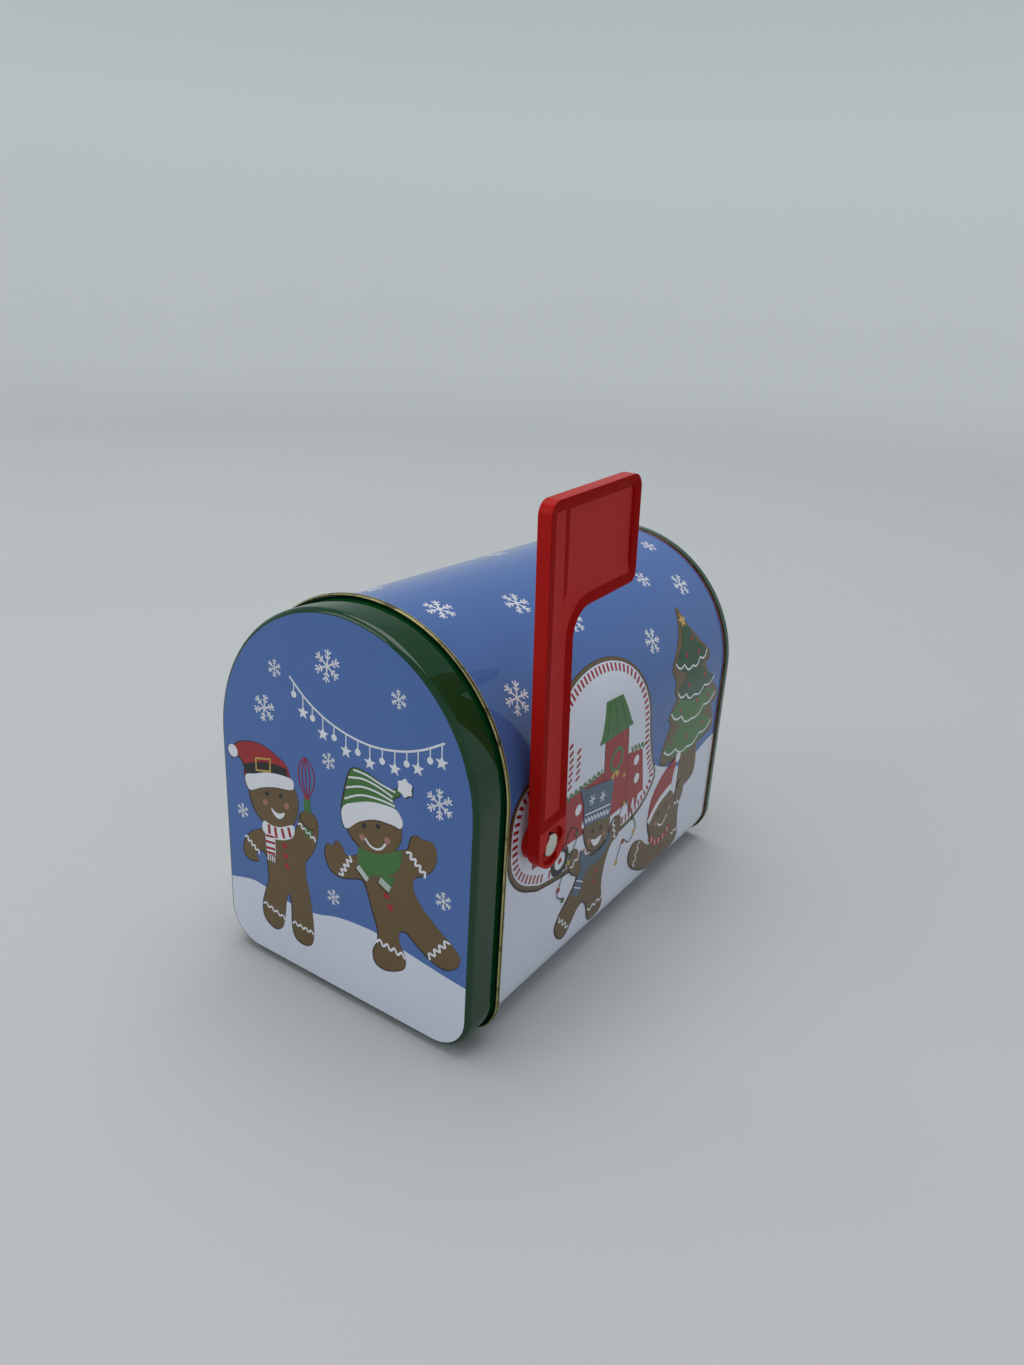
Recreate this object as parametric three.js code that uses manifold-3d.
// Mailbox-shaped cookie tin: a slip-on lid, a tinplate sleeve with a seamed back, and a riveted flag.
// Millimetres, +Z up. The lid faces -Y and the flag is on the +X side. The origin is the middle of
// the bottom of the whole tin, flag included, at the height of the surface that it stands on.
import * as THREE from 'three';
import { mergeVertices } from 'three/addons/utils/BufferGeometryUtils.js';
import Module from 'manifold-3d';

// Driving dimensions of the tin.
const LENGTH = 170;            // lid face to the back of the seam
const WIDTH = 100;             // across the outside of the lid's skirt
const HEIGHT = 126;            // bottom to top of the lid's skirt
const CORNER_RADIUS = 13;      // of the two bottom corners
const SHEET = 0.28;            // tinplate
const CLEARANCE = 0.3;         // between pieces that touch or slide

// Lid.
const EDGE_RADIUS = 1.8;       // between the lid's face and its skirt
const LID_DEPTH = 14;          // lid face to the end of the curl
const CURL_RADIUS = 0.95;      // outside of the rolled edge
const CURL_STEP = 40;          // degrees per facet, with one facet square to the skirt
const CURL_END = -100;         // degrees, where the rolled sheet stops, just short of the skirt

// Sleeve and back.
const SLEEVE_FRONT = 1.1;      // the sleeve's front edge, behind the lid's face
const HEM_DEPTH = 3;           // folded front edge, to the inside
const HEM_THICKNESS = 0.8;
const SEAM_HEIGHT = 3.2;       // double seam, along Y
const SEAM_ROUNDING = 0.35;
const SEAM_HOOK = 2.3;         // the sleeve's folded rear edge, inside the seam
const PANEL_RECESS = 3.5;      // the back panel's face below the seam's top
const PANEL_FILLET = 0.8;
const LOCK_SEAM_WIDTH = 7;     // the sleeve's own joint, along the middle of its underside
const LOCK_SEAM_THICKNESS = 0.9;

// Flag, in its own plane: u runs to the rear and v up from the rivet.
const FLAG_PIVOT_Y = 29;
const FLAG_PIVOT_Z = 62.8;
const FLAG_LEAN = 3.6;         // degrees, towards the lid
const FLAG_THICKNESS = 4.1;
const FLAG_STANDOFF = 3;       // sleeve to the flag's inner face
const ARM_BASE_RADIUS = 7.1;
const ARM_FRONT = -6.7;        // the arm's edges where it meets the head
const ARM_REAR = 6.2;
const HEAD_TOP = 101.2;
const HEAD_BOTTOM = 69.6;
const HEAD_REAR = 40.7;
const HEAD_CORNERS = { front: 4, rear: 4.5, lower: 3, neck: 8 };
const POCKET_DEPTH = 0.5;      // each of the two steps of the moulded recess
const POCKET_RIM = 0.8;        // flat rim outside the recess's sloping side
const POCKET_SLOPE = 2.4;
const POCKET_END = 7.5;        // where the arm's recess stops above the rivet
const PANEL_MOUTH = { front: 1.2, rear: 37.4, bottom: 72.9, top: 97.9 };
const PANEL_FLOOR = { front: 3.8, rear: 37.1, bottom: 76.6, top: 97.6 };
const PANEL_CORNER = 1.5;
const SMALLEST_CORNER = 0.5;
const BOSS_RADIUS = 6;

// Rivet and its washer.
const RIVET_HEAD_RADIUS = 3.2;
const RIVET_HEAD_HEIGHT = 0.9;
const RIVET_SHANK_RADIUS = 1.4;
const RIVET_SEAT = 1.3;        // counterbore depth in the flag
const RIVET_SEAT_RADIUS = 3.8;
const RIVET_TAIL_RADIUS = 2.6;
const RIVET_TAIL_HEIGHT = 0.9;
const WASHER_RADIUS = 4.5;
const WASHER_THICKNESS = 0.5;

// Facets.
const ARCH_STEPS = 36;
const CORNER_STEPS = 6;
const EDGE_STEPS = 3;
const ROUND_STEPS = 28;
const FLAG_CORNER_STEPS = 5;
const DOME_STEPS = 4;
const SEAM_STEPS = 2;

// Cutting tools.
const THROUGH = 1;             // how far a cutter passes beyond the surface that it cuts
const CUTTER_HEIGHT = 2;
const WELD = 1e-4;             // points closer than this are one point

// Worked out from the above.
const radians = THREE.MathUtils.degToRad;
const CURL_INNER_RADIUS = CURL_RADIUS - SHEET;
const CURL_PROUD = CURL_INNER_RADIUS + CURL_RADIUS * Math.cos(radians(CURL_STEP / 2));
const ARCH_RADIUS = WIDTH / 2;
const ARCH_Z = CURL_PROUD + HEIGHT - ARCH_RADIUS;
const CORNER_X = ARCH_RADIUS - CORNER_RADIUS;
const CORNER_Z = CURL_PROUD + CORNER_RADIUS;
const SLEEVE_OFFSET = -(SHEET + CLEARANCE);
const SLEEVE_X = ARCH_RADIUS + SLEEVE_OFFSET;
const SEAM_OUTER = SLEEVE_OFFSET + 2 * SHEET + CLEARANCE;
const SEAM_INNER = SLEEVE_OFFSET - 2 * SHEET - CLEARANCE;
const FLAG_INNER_X = SLEEVE_X + FLAG_STANDOFF;
const FLAG_OUTER_X = FLAG_INNER_X + FLAG_THICKNESS;
const HOLE_RADIUS = RIVET_SHANK_RADIUS + CLEARANCE;
const PIVOT = new THREE.Vector3(0, FLAG_PIVOT_Y, FLAG_PIVOT_Z);
const CENTRE_X = (FLAG_OUTER_X - ARCH_RADIUS - CURL_PROUD) / 2;

const wasm = await Module();
wasm.setup();

// Booleans on closed meshes.
function toManifold(geometry) {
  const bare = geometry.clone();
  bare.deleteAttribute('normal');
  bare.deleteAttribute('uv');
  const merged = mergeVertices(bare, WELD);
  return new wasm.Manifold(new wasm.Mesh({
    numProp: 3,
    vertProperties: Float32Array.from(merged.attributes.position.array),
    triVerts: Uint32Array.from(merged.index.array),
  }));
}

function toGeometry(solid) {
  const mesh = solid.getMesh();
  const geometry = new THREE.BufferGeometry();
  geometry.setAttribute('position', new THREE.BufferAttribute(mesh.vertProperties, 3));
  geometry.setIndex(new THREE.BufferAttribute(mesh.triVerts, 1));
  geometry.computeVertexNormals();
  return geometry;
}

// The tin's cross-section in X and Z: two bottom corners under a round arch. The offset is outwards
// from the outside of the lid's skirt, and every offset has the same number of points.
function outline(offset) {
  const points = [];
  const addArc = (x, z, radius, from, to, steps) => {
    for (let i = 0; i <= steps; i += 1) {
      const angle = from + (to - from) * i / steps;
      const reach = radius + offset;
      points.push(new THREE.Vector2(x + reach * Math.cos(angle), z + reach * Math.sin(angle)));
    }
  };
  addArc(CORNER_X, CORNER_Z, CORNER_RADIUS, -Math.PI / 2, 0, CORNER_STEPS);
  addArc(0, ARCH_Z, ARCH_RADIUS, 0, Math.PI, ARCH_STEPS);
  addArc(-CORNER_X, CORNER_Z, CORNER_RADIUS, Math.PI, 1.5 * Math.PI, CORNER_STEPS);
  return points;
}

// Carries a profile of [offset, y] points round the tin's outline. A closed profile makes a ring.
// An open one starts and ends on flat faces, so it makes a cup, and runs from its outer face round
// the rim to its inner face.
function sweep(profile, { closed, outerFaceIsFront = true }) {
  const rings = profile.map(([offset, y]) => outline(offset).map((p) => new THREE.Vector3(p.x, y, p.y)));
  const around = rings[0].length;
  const positions = rings.flat().flatMap((p) => [p.x, p.y, p.z]);
  const index = [];
  const addTriangle = (a, b, c) => (outerFaceIsFront ? index.push(a, c, b) : index.push(a, b, c));
  const spans = closed ? rings.length : rings.length - 1;
  for (let ring = 0; ring < spans; ring += 1) {
    const here = ring * around;
    const next = ((ring + 1) % rings.length) * around;
    for (let i = 0; i < around; i += 1) {
      const j = (i + 1) % around;
      addTriangle(here + i, here + j, next + j);
      addTriangle(here + i, next + j, next + i);
    }
  }
  if (!closed) {
    const lastRing = (rings.length - 1) * around;
    for (const [a, b, c] of THREE.ShapeUtils.triangulateShape(outline(profile[0][0]), [])) {
      addTriangle(a, c, b);
      addTriangle(lastRing + a, lastRing + b, lastRing + c);
    }
  }
  const geometry = new THREE.BufferGeometry();
  geometry.setAttribute('position', new THREE.Float32BufferAttribute(positions, 3));
  geometry.setIndex(index);
  geometry.computeVertexNormals();
  return geometry;
}

// Points of an arc in a profile, with angles in degrees from the outward direction towards +Y.
function profileArc(offset, y, radius, from, to, steps) {
  return Array.from({ length: steps + 1 }, (_, i) => {
    const angle = radians(from + (to - from) * i / steps);
    return [offset + radius * Math.cos(angle), y + radius * Math.sin(angle)];
  });
}

// One pressing: flat face, skirt, and an edge rolled outwards that ends just short of the skirt.
function lidGeometry() {
  const curlY = LID_DEPTH - CURL_RADIUS;
  const curlSteps = (180 - CURL_END) / CURL_STEP;
  return sweep([
    ...profileArc(-EDGE_RADIUS, EDGE_RADIUS, EDGE_RADIUS, -90, 0, EDGE_STEPS),
    ...profileArc(CURL_INNER_RADIUS, curlY, CURL_INNER_RADIUS, 180, CURL_END, curlSteps),
    ...profileArc(CURL_INNER_RADIUS, curlY, CURL_RADIUS, CURL_END, 180, curlSteps),
    ...profileArc(-EDGE_RADIUS, EDGE_RADIUS, EDGE_RADIUS - SHEET, 0, -90, EDGE_STEPS),
  ], { closed: false });
}

// A cylinder along X, from one x to another, round the rivet's axis.
function pivotCylinder(radius, fromX, toX) {
  const cylinder = new THREE.CylinderGeometry(radius, radius, toX - fromX, ROUND_STEPS);
  cylinder.rotateZ(-Math.PI / 2);
  cylinder.translate((fromX + toX) / 2, 0, 0);
  return cylinder;
}

// One sheet bent round: a hem at the front, a hook for the double seam at the back, the lock seam
// pressed to the inside of the underside, and the rivet's hole.
function sleeveGeometry() {
  const rear = LENGTH - SHEET - CLEARANCE;
  const inside = SLEEVE_OFFSET - SHEET;
  const wall = toManifold(sweep([
    [SLEEVE_OFFSET, SLEEVE_FRONT],
    [SLEEVE_OFFSET, rear - SEAM_HOOK],
    [SLEEVE_OFFSET + SHEET, rear - SEAM_HOOK],
    [SLEEVE_OFFSET + SHEET, rear],
    [inside, rear],
    [inside, SLEEVE_FRONT + HEM_DEPTH],
    [SLEEVE_OFFSET - HEM_THICKNESS, SLEEVE_FRONT + HEM_DEPTH],
    [SLEEVE_OFFSET - HEM_THICKNESS, SLEEVE_FRONT],
  ], { closed: true }));
  const seamFront = SLEEVE_FRONT + HEM_DEPTH + CLEARANCE;
  const seamRear = LENGTH - PANEL_RECESS - SHEET - CLEARANCE;
  const floorZ = CURL_PROUD - SLEEVE_OFFSET;
  const lockSeam = new THREE.BoxGeometry(LOCK_SEAM_WIDTH, seamRear - seamFront, LOCK_SEAM_THICKNESS);
  lockSeam.translate(0, (seamFront + seamRear) / 2, floorZ + SHEET / 2 + LOCK_SEAM_THICKNESS / 2);
  const hole = pivotCylinder(HOLE_RADIUS, SLEEVE_X - SHEET - THROUGH, SLEEVE_X + THROUGH);
  hole.translate(PIVOT.x, PIVOT.y, PIVOT.z);
  return toGeometry(wall.add(toManifold(lockSeam)).subtract(toManifold(hole)));
}

// End panel, recessed inside the double seam that it is rolled into.
function backPanelGeometry() {
  const face = LENGTH - PANEL_RECESS;
  const top = LENGTH - SEAM_ROUNDING;
  const hookY = LENGTH - SHEET;
  const innerFillet = PANEL_FILLET + SHEET;
  return sweep([
    ...profileArc(SEAM_INNER - PANEL_FILLET, face + PANEL_FILLET, PANEL_FILLET, -90, 0, EDGE_STEPS),
    ...profileArc(SEAM_INNER + SEAM_ROUNDING, top, SEAM_ROUNDING, 180, 90, SEAM_STEPS),
    ...profileArc(SEAM_OUTER - SEAM_ROUNDING, top, SEAM_ROUNDING, 90, 0, SEAM_STEPS),
    [SEAM_OUTER, LENGTH - SEAM_HEIGHT],
    [SEAM_OUTER - SHEET, LENGTH - SEAM_HEIGHT],
    [SEAM_OUTER - SHEET, hookY],
    [SEAM_INNER + SHEET, hookY],
    ...profileArc(SEAM_INNER - PANEL_FILLET, face + PANEL_FILLET, innerFillet, 0, -90, EDGE_STEPS),
  ], { closed: false, outerFaceIsFront: false });
}

// The flag's outline, made smaller by the inset, in u and v.
function flagOutline(inset) {
  const shape = new THREE.Shape();
  const top = HEAD_TOP - inset;
  const rear = HEAD_REAR - inset;
  const bottom = HEAD_BOTTOM + inset;
  const armFront = ARM_FRONT + inset;
  const armRear = ARM_REAR - inset;
  const { front, rear: rearCorner, lower, neck } = HEAD_CORNERS;
  const corner = (radius) => Math.max(radius - inset, SMALLEST_CORNER);
  const neckRadius = neck + inset;
  shape.absarc(0, 0, ARM_BASE_RADIUS - inset, Math.PI, 2 * Math.PI, false);
  shape.lineTo(armRear, bottom - neckRadius);
  shape.absarc(armRear + neckRadius, bottom - neckRadius, neckRadius, Math.PI, Math.PI / 2, true);
  shape.absarc(rear - corner(lower), bottom + corner(lower), corner(lower), -Math.PI / 2, 0, false);
  shape.absarc(rear - corner(rearCorner), top - corner(rearCorner), corner(rearCorner), 0, Math.PI / 2, false);
  shape.absarc(armFront + corner(front), top - corner(front), corner(front), Math.PI / 2, Math.PI, false);
  shape.closePath();
  return shape;
}

function roundedRectangle({ front, rear, bottom, top }, radius) {
  const shape = new THREE.Shape();
  shape.absarc(rear - radius, bottom + radius, radius, -Math.PI / 2, 0, false);
  shape.absarc(rear - radius, top - radius, radius, 0, Math.PI / 2, false);
  shape.absarc(front + radius, top - radius, radius, Math.PI / 2, Math.PI, false);
  shape.absarc(front + radius, bottom + radius, radius, Math.PI, 1.5 * Math.PI, false);
  shape.closePath();
  return shape;
}

// Turns a shape drawn in u and v, extruded along its own z, to stand in Y and Z and grow along X.
const FLAG_PLANE = new THREE.Matrix4().makeBasis(
  new THREE.Vector3(0, 1, 0),
  new THREE.Vector3(0, 0, 1),
  new THREE.Vector3(1, 0, 0),
);

function standingPlate(shape, fromX, depth, bevel = null) {
  const geometry = new THREE.ExtrudeGeometry(shape, {
    depth,
    curveSegments: FLAG_CORNER_STEPS,
    bevelEnabled: bevel !== null,
    bevelThickness: bevel ? bevel.depth : 0,
    bevelSize: bevel ? bevel.size : 0,
    bevelSegments: 1,
  });
  geometry.applyMatrix4(FLAG_PLANE);
  geometry.translate(fromX, 0, 0);
  return toManifold(geometry);
}

// The first step of the recess, with its sloping sides, over the arm and the head.
function recessCutter() {
  const slope = { depth: POCKET_DEPTH, size: POCKET_SLOPE };
  const floor = flagOutline(POCKET_RIM + POCKET_SLOPE);
  const above = new THREE.BoxGeometry(2 * CUTTER_HEIGHT, 2 * HEAD_TOP, 2 * HEAD_TOP);
  above.translate(FLAG_OUTER_X, 0, HEAD_TOP + POCKET_END);
  return standingPlate(floor, FLAG_OUTER_X, THROUGH, slope).intersect(toManifold(above));
}

// The second step, in the head alone: it narrows from its mouth to its floor.
function panelCutter() {
  const stepX = FLAG_OUTER_X - POCKET_DEPTH;
  const mouth = standingPlate(roundedRectangle(PANEL_MOUTH, PANEL_CORNER), stepX, CUTTER_HEIGHT);
  const floor = standingPlate(roundedRectangle(PANEL_FLOOR, PANEL_CORNER), stepX - POCKET_DEPTH, CUTTER_HEIGHT);
  return wasm.Manifold.hull([mouth, floor]);
}

// Moulded flag: a plate with a boss behind the rivet, and a shallow recess in two steps.
function flagGeometry() {
  const bossFrom = SLEEVE_X + CLEARANCE;
  const solid = standingPlate(flagOutline(0), FLAG_INNER_X, FLAG_THICKNESS)
    .add(toManifold(pivotCylinder(BOSS_RADIUS, bossFrom, FLAG_INNER_X + THROUGH)))
    .subtract(recessCutter())
    .subtract(panelCutter())
    .subtract(toManifold(pivotCylinder(HOLE_RADIUS, SLEEVE_X, FLAG_OUTER_X + THROUGH)))
    .subtract(toManifold(pivotCylinder(RIVET_SEAT_RADIUS, FLAG_OUTER_X - RIVET_SEAT, FLAG_OUTER_X + THROUGH)));
  return toGeometry(solid);
}

// A body of revolution round the rivet's axis, from [radius, x] points that start and end on it.
function turned(profile) {
  const points = profile.map(([radius, x]) => new THREE.Vector2(radius, x));
  const geometry = new THREE.LatheGeometry(points, ROUND_STEPS);
  geometry.rotateZ(-Math.PI / 2);
  return mergeVertices(geometry.deleteAttribute('normal').deleteAttribute('uv'), WELD);
}

// Domed head in the flag, plain shank, and a tail upset against the washer inside the tin.
function rivetGeometry() {
  const headX = FLAG_OUTER_X - RIVET_SEAT + CLEARANCE;
  const tailX = SLEEVE_X - SHEET - WASHER_THICKNESS - 2 * CLEARANCE;
  const dome = (radius, x, height) => Array.from({ length: DOME_STEPS + 1 }, (_, i) => {
    const angle = (Math.PI / 2) * i / DOME_STEPS;
    return [radius * Math.cos(angle), x + height * Math.sin(angle)];
  });
  const tail = dome(RIVET_TAIL_RADIUS, tailX, -RIVET_TAIL_HEIGHT).reverse();
  const head = dome(RIVET_HEAD_RADIUS, headX, RIVET_HEAD_HEIGHT);
  tail[0][0] = 0;
  head[DOME_STEPS][0] = 0;
  return turned([
    ...tail,
    [RIVET_SHANK_RADIUS, tailX],
    [RIVET_SHANK_RADIUS, headX],
    ...head,
  ]);
}

function washerGeometry() {
  const from = SLEEVE_X - SHEET - CLEARANCE - WASHER_THICKNESS;
  const disc = toManifold(pivotCylinder(WASHER_RADIUS, from, from + WASHER_THICKNESS));
  return toGeometry(disc.subtract(toManifold(pivotCylinder(HOLE_RADIUS, from - THROUGH, from + WASHER_THICKNESS + THROUGH))));
}

function piece(name, geometry, colour, roughness, metalness) {
  const material = new THREE.MeshStandardMaterial({ color: colour, roughness, metalness });
  const mesh = new THREE.Mesh(geometry, material);
  mesh.name = name;
  return mesh;
}

// The tin, in its own frame: the lid's face at y = 0 and the middle of its width at x = 0.
const tin = new THREE.Group();
tin.add(piece('lid', lidGeometry(), 0x46649b, 0.35, 0.4));
tin.add(piece('body_sleeve', sleeveGeometry(), 0x5f78a8, 0.3, 0.4));
tin.add(piece('back_panel', backPanelGeometry(), 0x244032, 0.35, 0.4));

// The flag leans towards the lid. The rivet and washer are fixed to the sleeve and stay square.
const pivot = new THREE.Group();
pivot.position.copy(PIVOT);
const flag = piece('flag', flagGeometry(), 0x9c1f1f, 0.35, 0);
flag.rotation.x = radians(FLAG_LEAN);
pivot.add(flag);
pivot.add(piece('rivet', rivetGeometry(), 0xb8b8b0, 0.3, 1));
pivot.add(piece('backing_washer', washerGeometry(), 0xa8a8a4, 0.4, 1));
tin.add(pivot);

tin.position.set(-CENTRE_X, -LENGTH / 2, 0);

const part = new THREE.Group();
part.add(tin);

export default part;
